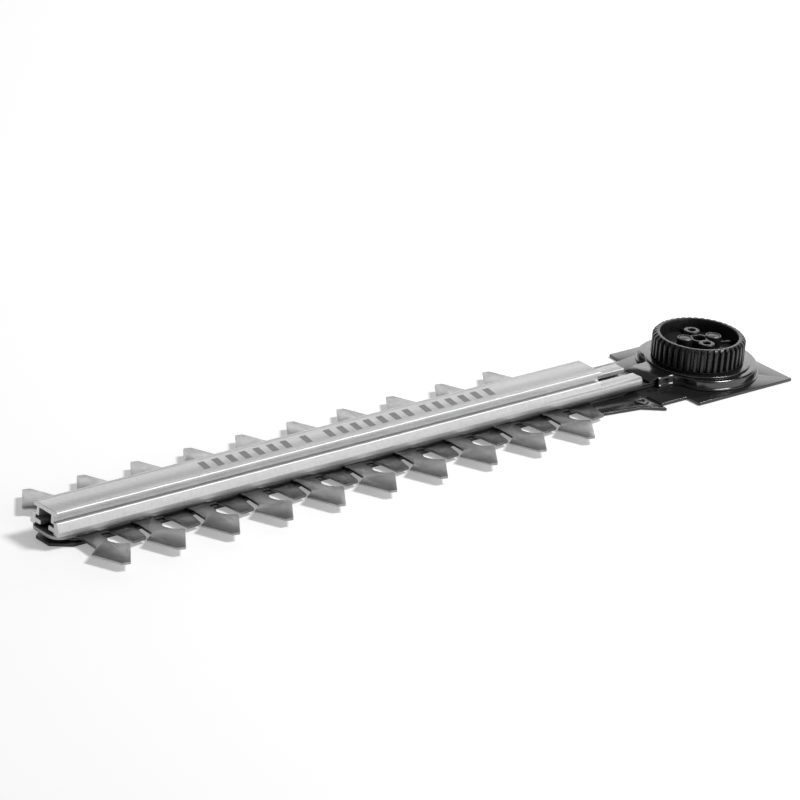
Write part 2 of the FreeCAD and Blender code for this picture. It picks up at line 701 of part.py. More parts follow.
def pivot_stud():
    """The stud on the base plate that the cams turn on."""
    stud = cylinder("studBody", size["stud_radius"], bar_top, upper_high - bar_top)
    tail = cylinder("studTail", size["stud_tail"], 0, bar_top)
    return group("pivot_stud", [joined("stud", stud, tail)])


blades()
support_bar()
base_plate()
wear_strip()
guide_rail()
cover_plate()
drive_gear()
cam("upper_cam", upper_low, throw)
cam("lower_cam", lower_low, -throw)
grease_felt()
groups = [guide_screws(), guide_sleeves(), rail_nuts(), cam_rivets(), lug_eyelets(), cover_disc(), thrust_ring(),
          gear_bush(), pivot_stud()]
doc.recompute()

failed = [item.Name for item in doc.Objects if {"Invalid", "Error"} & set(item.State)]
nodes = [item for item in doc.Objects if item.TypeId == "PartDesign::Body"] + groups
failed += [item.Label for item in nodes if item.Shape.isNull() or not item.Shape.isValid()]
if failed:
    raise RuntimeError("these did not build: " + ", ".join(failed))

os.makedirs("parts", exist_ok=True)
for node in nodes:
    shape = node.Shape
    shape.exportStep("parts/" + node.Label + ".step")
    box = shape.BoundBox
    print("%-14s solids %2d  volume %9.2f  x %8.2f %8.2f  y %7.2f %7.2f  z %6.2f %6.2f" % (
        node.Label, len(shape.Solids), shape.Volume, box.XMin, box.XMax, box.YMin, box.YMax, box.ZMin, box.ZMax))
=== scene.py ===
import json
import math

import bmesh
import bpy
from mathutils import Matrix, Vector


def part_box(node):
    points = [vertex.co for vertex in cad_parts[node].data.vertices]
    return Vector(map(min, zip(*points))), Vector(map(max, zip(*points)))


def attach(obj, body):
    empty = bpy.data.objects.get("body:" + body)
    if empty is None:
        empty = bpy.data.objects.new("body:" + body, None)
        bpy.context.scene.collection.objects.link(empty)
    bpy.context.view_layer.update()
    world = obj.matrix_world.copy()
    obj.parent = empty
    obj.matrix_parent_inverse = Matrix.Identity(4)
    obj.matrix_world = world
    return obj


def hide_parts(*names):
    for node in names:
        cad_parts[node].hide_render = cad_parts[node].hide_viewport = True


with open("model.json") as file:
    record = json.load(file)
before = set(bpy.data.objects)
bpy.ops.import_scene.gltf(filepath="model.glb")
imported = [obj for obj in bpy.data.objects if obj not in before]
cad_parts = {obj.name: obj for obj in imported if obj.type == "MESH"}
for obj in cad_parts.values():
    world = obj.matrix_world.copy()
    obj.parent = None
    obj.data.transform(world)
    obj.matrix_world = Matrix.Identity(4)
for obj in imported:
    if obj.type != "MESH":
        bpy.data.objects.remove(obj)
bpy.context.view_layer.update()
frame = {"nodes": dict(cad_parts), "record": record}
scene = bpy.context.scene
nodes = frame["nodes"]
mm = 0.001
print("frame loaded:", len(nodes), "nodes")


# camera and studio

studio = {
    "azimuth": 42.32, "elevation": 22.74, "roll": 5.05,  # viewing direction, degrees
    "distance": 1.5554, "lens": 225.7, "target": (-0.10446, 0.02392, 0.00275),
    "floorSize": 6.0, "floorHeight": -0.0001, "floorTone": 0.85, "floorRough": 0.9, "floorGlow": 0.30,
    "worldTone": 0.95, "worldStrength": 0.16,
}
lamps = {
    # from: where it stands, in metres from the target; size: metres; power: watts
    "keyLamp": {"from": (0.60, -0.42, 1.15), "size": (0.34, 0.34), "power": 14.0},
    "backPanel": {"from": (0.96, 1.05, 0.43), "size": (2.8, 0.62), "power": 9.6},
    "frontFill": {"from": (0.60, -1.15, 0.34), "size": (1.5, 0.5), "power": 3.6},
}


def addCamera():
    az, el, roll = (math.radians(studio[key]) for key in ("azimuth", "elevation", "roll"))
    look = Vector((math.sin(az) * math.cos(el), math.cos(az) * math.cos(el), -math.sin(el)))
    right = Vector((math.cos(az), -math.sin(az), 0))
    up = right.cross(look)
    side = right * math.cos(roll) + up * math.sin(roll)
    top = up * math.cos(roll) - right * math.sin(roll)
    camera = bpy.data.objects.new("camera", bpy.data.cameras.new("camera"))
    scene.collection.objects.link(camera)
    camera.data.lens = studio["lens"]
    camera.data.sensor_width = 36
    camera.data.clip_end = 20
    place = Matrix((side, top, -look)).transposed().to_4x4()
    place.translation = Vector(studio["target"]) - look * studio["distance"]
    camera.matrix_world = place
    scene.camera = camera


def addLamps():
    aim = Vector(studio["target"])
    for name, lamp in lamps.items():
        data = bpy.data.lights.new(name, "AREA")
        data.shape = "RECTANGLE"
        data.size, data.size_y = lamp["size"]
        data.energy = lamp["power"]
        obj = bpy.data.objects.new(name, data)
        scene.collection.objects.link(obj)
        obj.location = aim + Vector(lamp["from"])
        obj.rotation_euler = (aim - obj.location).to_track_quat("-Z", "Y").to_euler()


def addWorldAndFloor():
    world = bpy.data.worlds.new("studioWorld")
    scene.world = world
    world.use_nodes = True
    back = world.node_tree.nodes["Background"]
    back.inputs["Color"].default_value = (studio["worldTone"],) * 3 + (1,)
    back.inputs["Strength"].default_value = studio["worldStrength"]
    half, height = studio["floorSize"] / 2, studio["floorHeight"]
    mesh = bpy.data.meshes.new("floor")
    corners = ((-half, -half), (half, -half), (half, half), (-half, half))
    mesh.from_pydata([(x, y, height) for x, y in corners], [], [(0, 1, 2, 3)])
    floor = bpy.data.objects.new("floor", mesh)
    scene.collection.objects.link(floor)
    paper = bpy.data.materials.new("floorPaper")
    paper.use_nodes = True
    shader = paper.node_tree.nodes["Principled BSDF"]
    shader.inputs["Base Color"].default_value = (studio["floorTone"],) * 3 + (1,)
    shader.inputs["Roughness"].default_value = studio["floorRough"]
    shader.inputs["Specular IOR Level"].default_value = 0.0
    shader.inputs["Emission Color"].default_value = (1, 1, 1, 1)
    shader.inputs["Emission Strength"].default_value = studio["floorGlow"]
    mesh.materials.append(paper)
    scene.view_settings.view_transform = "Standard"
    scene.view_settings.look = "None"


addCamera()
addLamps()
addWorldAndFloor()
print("camera, lamps and floor ready")


# finishes

looks = {
    # tone and metal: base colour and metallic; rough: roughness low and high; grain: noise scale per metre along
    # x, y and z; bump: bump height in millimetres; mottle: scale per metre and how much the tone varies;
    # painted shade entry: colour darkened towards the middle to stand in for the rail's shadow, from one distance off
    # the x axis in millimetres to another, and by what factor; index: refractive index of a lacquer
    "railAluminium": {"tone": 0.64, "metal": 1.0, "rough": (0.46, 0.58), "grain": (60, 2600, 2600), "bump": 0.004,
                      "mottle": (900, 0.05)},
    "stripSteel": {"tone": 0.30, "metal": 1.0, "rough": (0.28, 0.40), "grain": (90, 2400, 2400), "bump": 0.003,
                   "mottle": (400, 0.05)},
    # the blade steel carries painted shade: its colour darkens near the rail, standing in for the rail's shadow and
    # the dark reflection on the teeth
    "bladeSteel": {"tone": 0.34, "metal": 1.0, "rough": (0.30, 0.44), "grain": (2600, 500, 900), "bump": 0.004,
                   "mottle": (260, 0.12), "paintedShade": (9.0, 21.0, 0.28)},
    "barSteel": {"tone": 0.020, "metal": 0.0, "rough": (0.34, 0.55), "grain": (1500, 1500, 1500), "bump": 0.006,
                 "mottle": (500, 0.3)},
    "baseSteel": {"tone": 0.012, "metal": 0.0, "index": 1.62, "rough": (0.16, 0.26), "grain": (3600, 3600, 3600),
                  "bump": 0.004, "mottle": (1800, 0.20)},
    "coverSteel": {"tone": 0.008, "metal": 0.0, "index": 1.80, "rough": (0.12, 0.20), "grain": (700, 900, 900),
                   "bump": 0.002, "mottle": (300, 0.12)},
    "discSteel": {"tone": 0.010, "metal": 0.0, "index": 1.85, "rough": (0.14, 0.24), "grain": (1200, 1200, 300),
                  "bump": 0.003, "mottle": (500, 0.12)},
    "ringNylon": {"tone": 0.03, "metal": 0.0, "rough": (0.45, 0.6), "grain": (2200, 2200, 2200), "bump": 0.004,
                  "mottle": (700, 0.2)},
    "gearNylon": {"tone": 0.013, "metal": 0.0, "rough": (0.24, 0.38), "grain": (1900, 1900, 1900), "bump": 0.008,
                  "mottle": (600, 0.35)},
    "camSteel": {"tone": 0.45, "metal": 1.0, "rough": (0.25, 0.4), "grain": (2200, 400, 600), "bump": 0.003,
                 "mottle": (500, 0.15)},
    "rivetSteel": {"tone": 0.12, "metal": 1.0, "rough": (0.34, 0.5), "grain": (2600, 2600, 2600), "bump": 0.006,
                   "mottle": (900, 0.3)},
    "bushBronze": {"tone": 0.42, "metal": 1.0, "rough": (0.32, 0.5), "grain": (3000, 3000, 3000), "bump": 0.006,
                   "mottle": (1200, 0.2), "tint": (1.0, 0.72, 0.40)},
    "screwSteel": {"tone": 0.15, "metal": 1.0, "rough": (0.28, 0.45), "grain": (1800, 1800, 1800), "bump": 0.004,
                   "mottle": (800, 0.2)},
    "feltWool": {"tone": 0.50, "metal": 0.0, "rough": (0.85, 1.0), "grain": (4000, 4000, 2500), "bump": 0.06,
                 "mottle": (2500, 0.3), "tint": (1.0, 0.96, 0.87), "sheen": 0.4},
    "printInk": {"tone": 0.20, "metal": 0.0, "rough": (0.5, 0.62), "grain": (2600, 2600, 2600), "bump": 0.002,
                 "mottle": (3000, 0.25)},
}


def newLook(name):
    look = looks[name]
    material = bpy.data.materials.new(name)
    material.use_nodes = True
    tree = material.node_tree
    shader = tree.nodes["Principled BSDF"]
    shader.inputs["Metallic"].default_value = look["metal"]
    if "index" in look:
        shader.inputs["IOR"].default_value = look["index"]
    if "sheen" in look:
        shader.inputs["Sheen Weight"].default_value = look["sheen"]
    place = tree.nodes.new("ShaderNodeTexCoord")
    stretch = tree.nodes.new("ShaderNodeMapping")
    stretch.inputs["Scale"].default_value = look["grain"]
    tree.links.new(place.outputs["Object"], stretch.inputs["Vector"])
    grain = tree.nodes.new("ShaderNodeTexNoise")
    grain.inputs["Scale"].default_value = 1.0
    grain.inputs["Detail"].default_value = 4.0
    tree.links.new(stretch.outputs["Vector"], grain.inputs["Vector"])
    gloss = tree.nodes.new("ShaderNodeMapRange")
    gloss.inputs["From Min"].default_value = 0.3
    gloss.inputs["From Max"].default_value = 0.7
    gloss.inputs["To Min"].default_value, gloss.inputs["To Max"].default_value = look["rough"]
    tree.links.new(grain.outputs["Fac"], gloss.inputs["Value"])
    tree.links.new(gloss.outputs["Result"], shader.inputs["Roughness"])
    bump = tree.nodes.new("ShaderNodeBump")
    bump.inputs["Strength"].default_value = 0.6
    bump.inputs["Distance"].default_value = look["bump"] * mm
    tree.links.new(grain.outputs["Fac"], bump.inputs["Height"])
    tree.links.new(bump.outputs["Normal"], shader.inputs["Normal"])
    mottle = tree.nodes.new("ShaderNodeTexNoise")
    mottle.inputs["Scale"].default_value = look["mottle"][0]
    mottle.inputs["Detail"].default_value = 5.0
    tree.links.new(place.outputs["Object"], mottle.inputs["Vector"])
    tones = tree.nodes.new("ShaderNodeValToRGB")
    tint = look.get("tint", (1.0, 1.0, 1.0))
    vary = look["mottle"][1]
    for stop, where, factor in ((0, 0.32, 1 - vary), (1, 0.68, 1 + vary)):
        tones.color_ramp.elements[stop].position = where
        tones.color_ramp.elements[stop].color = [min(look["tone"] * factor * part, 1.0) for part in tint] + [1]
    tree.links.new(mottle.outputs["Fac"], tones.inputs["Fac"])
    tree.links.new(tones.outputs["Color"], shader.inputs["Base Color"])
    # painted shade: the colour is scaled down towards the x axis, standing in for the shadow and dark reflection that
    # the rail throws on the nearby teeth
    if "paintedShade" in look:
        parts = tree.nodes.new("ShaderNodeSeparateXYZ")
        tree.links.new(place.outputs["Object"], parts.inputs["Vector"])
        paintedShadeRamp = tree.nodes.new("ShaderNodeMapRange")
        paintedShadeRamp.interpolation_type = "SMOOTHSTEP"
        near, far, darkest = look["paintedShade"]
        paintedShadeRamp.inputs["From Min"].default_value, paintedShadeRamp.inputs["From Max"].default_value = near * mm, far * mm
        paintedShadeRamp.inputs["To Min"].default_value = darkest
        paintedShadeRamp.inputs["To Max"].default_value = 1.0
        side = tree.nodes.new("ShaderNodeMath")
        side.operation = "ABSOLUTE"
        tree.links.new(parts.outputs["Y"], side.inputs[0])
        tree.links.new(side.outputs["Value"], paintedShadeRamp.inputs["Value"])
        paintedShadeScale = tree.nodes.new("ShaderNodeVectorMath")
        paintedShadeScale.operation = "SCALE"
        tree.links.new(tones.outputs["Color"], paintedShadeScale.inputs[0])
        tree.links.new(paintedShadeRamp.outputs["Result"], paintedShadeScale.inputs["Scale"])
        tree.links.new(paintedShadeScale.outputs["Vector"], shader.inputs["Base Color"])
    return material


finishes = {name: newLook(name) for name in looks}
slotFinish = {
    "rail_aluminium": "railAluminium", "strip_steel": "stripSteel", "blade_steel": "bladeSteel",
    "bar_steel": "barSteel", "base_steel": "baseSteel", "cover_steel": "coverSteel", "disc_steel": "discSteel",
    "ring_nylon": "ringNylon", "gear_nylon": "gearNylon", "cam_steel": "camSteel", "rivet_steel": "rivetSteel",
    "bush_bronze": "bushBronze", "screw_steel": "screwSteel", "felt": "feltWool",
}
slotOf = {part["node"]: part["material_slot"] for part in frame["record"]["subparts"]}
for nodeName, node in nodes.items():
    node.data.materials.clear()
    node.data.materials.append(finishes[slotFinish[slotOf[nodeName]]])
print("finishes ready:", len(finishes))


# shapes in millimetres

def meshFrom(work, name):
    mesh = bpy.data.meshes.new(name)
    work.to_mesh(mesh)
    work.free()
    return mesh


def applied(obj, modifier):
    # keeps what a modifier makes as the object's own mesh
    result = bpy.data.meshes.new_from_object(obj.evaluated_get(bpy.context.evaluated_depsgraph_get()))
    obj.modifiers.remove(modifier)
    obj.data = result
    return obj


def rounded(corners, radius, steps=3):
    # a closed outline with its corners rounded; a third value in a corner is its own radius
    points = []
    for index, corner in enumerate(corners):
        before, here, after = (Vector(corners[(index + step) % len(corners)][:2]) for step in (-1, 0, 1))
        wanted = corner[2] if len(corner) > 2 else radius
        back, on = before - here, after - here
        reach = 0.48 * min(back.length, on.length)
        back.normalize()
        on.normalize()
        angle = back.angle(on)
        if wanted <= 0 or angle > math.pi - 0.06:
            points.append(here)
            continue
        run = min(wanted / math.tan(angle / 2), reach)
        size = run * math.tan(angle / 2)
        centre = here + (back + on).normalized() * (size / math.sin(angle / 2))
        first, last = here + back * run - centre, here + on * run - centre
        start = math.atan2(first.y, first.x)
        sweep = (math.atan2(last.y, last.x) - start + math.pi) % (2 * math.pi) - math.pi
        for step in range(steps + 1):
            turn = start + sweep * step / steps
            points.append(centre + Vector((math.cos(turn), math.sin(turn))) * size)
    return points


def arcPoints(centre, radius, start, end, steps):
    return [(centre[0] + radius * math.cos(math.radians(start + (end - start) * step / steps)),
             centre[1] + radius * math.sin(math.radians(start + (end - start) * step / steps)))
            for step in range(steps + 1)]


def flatMesh(name, outlines, height=0.0, plane="xy"):
    # one face for each outline, in metres
    work = bmesh.new()
    for outline in outlines:
        if plane == "xy":
            corners = [(point[0] * mm, point[1] * mm, height * mm) for point in outline]
        else:
            corners = [(height * mm, point[0] * mm, point[1] * mm) for point in outline]
        work.faces.new([work.verts.new(corner) for corner in corners])
    bmesh.ops.remove_doubles(work, verts=work.verts, dist=1e-6)
    return meshFrom(work, name)


def spunMesh(name, profile, segments=96, centre=(0.0, 0.0)):
    # a closed profile of (radius, height) turned about an upright axis
    work = bmesh.new()
    rings = []
    for radius, height in profile:
        if radius < 1e-6:
            ring = [work.verts.new((centre[0] * mm, centre[1] * mm, height * mm))] * segments
        else:
            ring = [work.verts.new(((centre[0] + radius * math.cos(2 * math.pi * step / segments)) * mm,
                                    (centre[1] + radius * math.sin(2 * math.pi * step / segments)) * mm,
                                    height * mm)) for step in range(segments)]
        rings.append(ring)
    for index, ring in enumerate(rings):
        following = rings[(index + 1) % len(rings)]
        if ring[0] is ring[1] and following[0] is following[1]:
            continue
        for step in range(segments):
            corners = [ring[step - 1], ring[step], following[step], following[step - 1]]
            corners = [corner for place, corner in enumerate(corners) if corner not in corners[:place]]
            work.faces.new(corners)
    bmesh.ops.recalc_face_normals(work, faces=work.faces)
    return meshFrom(work, name)


def joinedMesh(name, meshes):
    work = bmesh.new()
    for mesh in meshes:
        work.from_mesh(mesh)
    return meshFrom(work, name)


# geometry node trees

def newTree(name, inputs):
    tree = bpy.data.node_groups.new(name, "GeometryNodeTree")
    tree.interface.new_socket(name="Geometry", in_out="INPUT", socket_type="NodeSocketGeometry")
    tree.interface.new_socket(name="Geometry", in_out="OUTPUT", socket_type="NodeSocketGeometry")
    for label, kind in inputs:
        tree.interface.new_socket(name=label, in_out="INPUT", socket_type="NodeSocket" + kind)
    return tree, tree.nodes.new("NodeGroupInput"), tree.nodes.new("NodeGroupOutput")


def endTree(tree, start, end, geometry):
    realize = tree.nodes.new("GeometryNodeRealizeInstances")
    weld = tree.nodes.new("GeometryNodeMergeByDistance")
    weld.inputs["Distance"].default_value = 2e-6
    paint = tree.nodes.new("GeometryNodeSetMaterial")
    tree.links.new(geometry, realize.inputs["Geometry"])
    tree.links.new(realize.outputs["Geometry"], weld.inputs["Geometry"])
    tree.links.new(weld.outputs["Geometry"], paint.inputs["Geometry"])
    tree.links.new(start.outputs["Material"], paint.inputs["Material"])
    tree.links.new(paint.outputs["Geometry"], end.inputs["Geometry"])
    return tree


def makeRowTree():
    # copies of a shape in a straight row
    tree, start, end = newTree("rowOfCopies", [("Count", "Int"), ("Start", "Vector"), ("Step", "Vector"),
                                               ("Material", "Material")])
    line = tree.nodes.new("GeometryNodeMeshLine")
    copies = tree.nodes.new("GeometryNodeInstanceOnPoints")
    tree.links.new(start.outputs["Count"], line.inputs["Count"])
    tree.links.new(start.outputs["Start"], line.inputs["Start Location"])
    tree.links.new(start.outputs["Step"], line.inputs["Offset"])
    tree.links.new(line.outputs["Mesh"], copies.inputs["Points"])
    tree.links.new(start.outputs["Geometry"], copies.inputs["Instance"])
    return endTree(tree, start, end, copies.outputs["Instances"])


def makeRingTree():
    # copies of a shape about the upright axis, each turned by Step from the one before
    tree, start, end = newTree("ringOfCopies", [("Count", "Int"), ("Turn", "Float"), ("Step", "Float"),
                                                ("Material", "Material")])
    points = tree.nodes.new("GeometryNodePoints")
    copies = tree.nodes.new("GeometryNodeInstanceOnPoints")
    index = tree.nodes.new("GeometryNodeInputIndex")
    angle = tree.nodes.new("ShaderNodeMath")
    angle.operation = "MULTIPLY_ADD"
    turn = tree.nodes.new("ShaderNodeCombineXYZ")
    tree.links.new(start.outputs["Count"], points.inputs["Count"])
    tree.links.new(index.outputs["Index"], angle.inputs[0])
    tree.links.new(start.outputs["Step"], angle.inputs[1])
    tree.links.new(start.outputs["Turn"], angle.inputs[2])
    tree.links.new(angle.outputs["Value"], turn.inputs["Z"])
    tree.links.new(points.outputs["Points"], copies.inputs["Points"])
    tree.links.new(turn.outputs["Vector"], copies.inputs["Rotation"])
    tree.links.new(start.outputs["Geometry"], copies.inputs["Instance"])
    return endTree(tree, start, end, copies.outputs["Instances"])


def makePlateTree():
    # a flat outline given a thickness, less the shapes of another object
    tree, start, end = newTree("plateFromOutline", [("Depth", "Vector"), ("Cutters", "Object"),
                                                    ("Material", "Material")])
    raised = tree.nodes.new("GeometryNodeExtrudeMesh")
    raised.inputs["Individual"].default_value = False
    raised.inputs["Offset Scale"].default_value = 1.0
    under = tree.nodes.new("GeometryNodeFlipFaces")
    both = tree.nodes.new("GeometryNodeJoinGeometry")
    weld = tree.nodes.new("GeometryNodeMergeByDistance")
    weld.inputs["Distance"].default_value = 2e-6
    other = tree.nodes.new("GeometryNodeObjectInfo")
    holes = tree.nodes.new("GeometryNodeMeshBoolean")
    holes.operation = "DIFFERENCE"
    holes.solver = "EXACT"
    tree.links.new(start.outputs["Geometry"], raised.inputs["Mesh"])
    tree.links.new(start.outputs["Depth"], raised.inputs["Offset"])
    tree.links.new(start.outputs["Geometry"], under.inputs["Mesh"])
    tree.links.new(under.outputs["Mesh"], both.inputs["Geometry"])
    tree.links.new(raised.outputs["Mesh"], both.inputs["Geometry"])
    tree.links.new(both.outputs["Geometry"], weld.inputs["Geometry"])
    tree.links.new(weld.outputs["Geometry"], holes.inputs["Mesh 1"])
    tree.links.new(start.outputs["Cutters"], other.inputs["Object"])
    tree.links.new(other.outputs["Geometry"], holes.inputs["Mesh 2"])
    return endTree(tree, start, end, holes.outputs["Mesh"])


rowTree, ringTree, plateTree = makeRowTree(), makeRingTree(), makePlateTree()
sharpTurn = 34


def grown(name, mesh, tree, values):
    # runs a tree on a mesh and keeps the plain result
    obj = bpy.data.objects.new(name, mesh)
    scene.collection.objects.link(obj)
    modifier = obj.modifiers.new("grow", "NODES")
    modifier.node_group = tree
    for item in tree.interface.items_tree:
        if item.item_type == "SOCKET" and item.in_out == "INPUT" and item.name in values:
            modifier[item.identifier] = values[item.name]
    return applied(obj, modifier)


def plainObject(name, mesh, finish=None):
    obj = bpy.data.objects.new(name, mesh)
    scene.collection.objects.link(obj)
    if finish:
        mesh.materials.clear()
        mesh.materials.append(finishes[finish])
    return obj


def softened(obj, width, angle=38, segments=2):
    # breaks the sharp edges and shades the rest smooth, except over turns of more than sharpTurn degrees
    if width > 0:
        edge = obj.modifiers.new("edges", "BEVEL")
        edge.width = width * mm
        edge.segments = segments
        edge.limit_method = "ANGLE"
        edge.angle_limit = math.radians(angle)
        edge.use_clamp_overlap = False
        edge.miter_outer = "MITER_ARC"
        applied(obj, edge)
    mesh = obj.data
    mesh.polygons.foreach_set("use_smooth", [True] * len(mesh.polygons))
    mesh.set_sharp_from_angle(angle=math.radians(sharpTurn))
    return obj


def placed(obj, body, slotName, *replaced):
    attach(obj, body)
    if replaced:
        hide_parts(*replaced)
    print("made", obj.name, len(obj.data.polygons), "faces")
    return obj


def cornersOf(node):
    low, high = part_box(node)
    return low / mm, high / mm


def cutterObject(name, outlines, low, high, plane="xy"):
    # closed prisms that cut holes; it is deleted after use
    work = bmesh.new()
    for outline in outlines:
        if plane == "xy":
            lower, upper = ([work.verts.new((x * mm, y * mm, z * mm)) for x, y in outline] for z in (low, high))
        else:
            lower, upper = ([work.verts.new((x * mm, y * mm, z * mm)) for x, z in outline] for y in (low, high))
        work.faces.new(lower)
        work.faces.new(upper)
        for index in range(len(lower)):
            work.faces.new([lower[index - 1], lower[index], upper[index], upper[index - 1]])
    bmesh.ops.recalc_face_normals(work, faces=work.faces)
    return plainObject(name, meshFrom(work, name))


def discard(obj):
    bpy.data.objects.remove(obj)


def softCopy(node, name, width, body):
    # the same shape as a CAD node, with its edges broken
    mesh = nodes[node].data.copy()
    work = bmesh.new()
    work.from_mesh(mesh)
    bmesh.ops.remove_doubles(work, verts=work.verts, dist=2e-6)
    bmesh.ops.dissolve_limit(work, angle_limit=math.radians(0.4), verts=work.verts, edges=work.edges)
    work.to_mesh(mesh)
    work.free()
    obj = plainObject(name, mesh, slotFinish[slotOf[node]])
    softened(obj, width)
    return placed(obj, body, slotOf[node], node)


# guide screws, sleeves and nuts under the rail

fixings = {
    "count": 5, "first": -243.0, "spacing": 48.0,  # places along the rail
    "headRadius": 2.3, "headHeight": 0.55, "shankRadius": 1.5, "hexRadius": 0.8, "hexDepth": 0.3,
    "headChamfer": 0.15, "tipChamfer": 0.3, "sleeveRadius": 2.4, "sleeveGap": 0.05, "sleeveRound": 0.12,
    "nutHalf": 3.9, "nutHeight": 1.0, "nutRound": 0.5, "nutEdge": 0.12, "nutGap": 0.02, "collarRadius": 2.6,
    "collarRound": 0.15, "threadFrom": 3.6, "threadEnd": 0.6, "threadPitch": 0.5, "threadDepth": 0.14,
}


def rowValues(finish, count, first, step):
    return {"Count": count, "Start": first, "Step": step, "Material": finishes[finish]}


def makeFixings():
    f = fixings
    row = (f["count"], (f["first"] * mm, 0.0, 0.0), (f["spacing"] * mm, 0.0, 0.0))
    shank = f["shankRadius"]

    low, high = cornersOf("guide_screws")
    head, socket = low.z + f["headHeight"], low.z + f["hexDepth"]
    profile = [(0, socket), (f["hexRadius"], socket), (f["hexRadius"], low.z),
               (f["headRadius"] - f["headChamfer"], low.z), (f["headRadius"], low.z + f["headChamfer"]),
               (f["headRadius"], head), (shank, head)]
    height = head + f["threadFrom"]
    while height < high.z - f["threadEnd"]:  # the thread, as closed rings
        profile += [(shank, height), (shank - f["threadDepth"], height + f["threadPitch"] / 2)]
        height += f["threadPitch"]
    profile += [(shank, high.z - f["tipChamfer"]), (shank - f["tipChamfer"], high.z), (0, high.z)]
    screws = grown("guideScrewRow", spunMesh("screw", profile, 36), rowTree, rowValues("screwSteel", *row))
    placed(softened(screws, 0), "chassis", "screw_steel", "guide_screws")

    low, high = cornersOf("guide_sleeves")
    inner, outer = shank + f["sleeveGap"], f["sleeveRadius"]
    profile = rounded([(inner, low.z), (outer, low.z), (outer, high.z), (inner, high.z)], f["sleeveRound"], 2)
    sleeves = grown("guideSleeveRow", spunMesh("sleeve", profile, 48), rowTree, rowValues("rivetSteel", *row))
    placed(softened(sleeves, 0), "chassis", "rivet_steel", "guide_sleeves")

    low, high = cornersOf("rail_nuts")
    half, bore = f["nutHalf"], shank + f["nutGap"]
    foot = low.z + f["nutHeight"] - 0.1  # a little inside the square part
    square = rounded([(-half, -half), (half, -half), (half, half), (-half, half)], f["nutRound"])
    hole = cutterObject("nutHole", [arcPoints((0, 0), bore, 0, 351, 39)], low.z - 1, high.z + 1)
    plate = grown("nutPlate", flatMesh("nutPlate", [square], low.z), plateTree,
                  {"Depth": (0, 0, f["nutHeight"] * mm), "Cutters": hole, "Material": finishes["screwSteel"]})
    collar = rounded([(bore, foot), (f["collarRadius"], foot), (f["collarRadius"], high.z), (bore, high.z)],
                     f["collarRound"], 2)
    softened(plate, f["nutEdge"])
    both = joinedMesh("nut", [plate.data, spunMesh("collar", collar, 48)])
    nuts = grown("railNutRow", both, rowTree, rowValues("screwSteel", *row))
    discard(plate)
    discard(hole)
    placed(softened(nuts, 0), "chassis", "screw_steel", "rail_nuts")


makeFixings()


# the two blades

blade = {
    "pitch": 20.0, "count": 10, "firstTip": -250.9, "thickness": 0.8, "spineHalf": 6.3, "spineFront": -255.0,
    "spineRear": -37.5, "neckHalf": 5.1, "yokeOuter": 10.78, "yokeInner": 9.48, "throw": 4.0, "slotRadius": 2.5,
    "cornerRound": 0.45, "rootRound": 1.1, "edge": 0.16, "noseCut": (1.9, 2.0), "neckRun": 3.0,
    "gulletCentre": (9.38, -12.49), "gulletRadius": 5.0, "gulletArc": (259.8, 174.3),  # behind a barbed tooth
}


def longTooth(at, side):
    # a barbed tooth's corners, on the -y side; the +y side has it turned half round
    spine, root, tip = blade["spineHalf"], blade["rootRound"], blade["cornerRound"]
    shape = [(-1.93, -spine, root), (-1.2, -8.5, 2.0), (-1.6, -15.6, 1.0), (-5.5, -18.2, 0.25), (-1.2, -27.6, tip),
             (1.2, -28.2, tip), (8.7, -18.2, 0.25), (8.4, -17.4, 0.3)]
    gullet = arcPoints(blade["gulletCentre"], blade["gulletRadius"], *blade["gulletArc"], 8)
    shape += [(x, y, 0) for x, y in gullet[1:-1]]
    shape += [(5.1, -12.0, 0.6), (5.1, -8.9, 1.5), (6.27, -spine, root)]
    return [(at - side * x, -side * y, size) for x, y, size in shape]


def shortTooth(at, side):
    # a blunt tooth's corners, in the same manner
    spine, root, tip = blade["spineHalf"], blade["rootRound"], blade["cornerRound"]
    shape = [(-4.6, -spine, 0.5), (-3.2, -9.9, 1.5), (-2.7, -16.1, tip), (2.4, -15.6, tip), (4.3, -spine, root)]
    return [(at - side * x, -side * y, size) for x, y, size in shape]


def toothCell(near, far, start):
    # one pitch of blade, from start, measured from the near row's barbed tip
    end, spine = start + blade["pitch"], blade["spineHalf"]
    return rounded([(start, -spine, 0), *near, (end, -spine, 0), (end, spine, 0), *far, (start, spine, 0)], 0)


def yokeOutline(radius, steps=28):
    throw = blade["throw"]
    return arcPoints((0, -throw), radius, -180, 0, steps) + arcPoints((0, throw), radius, 0, 180, steps)


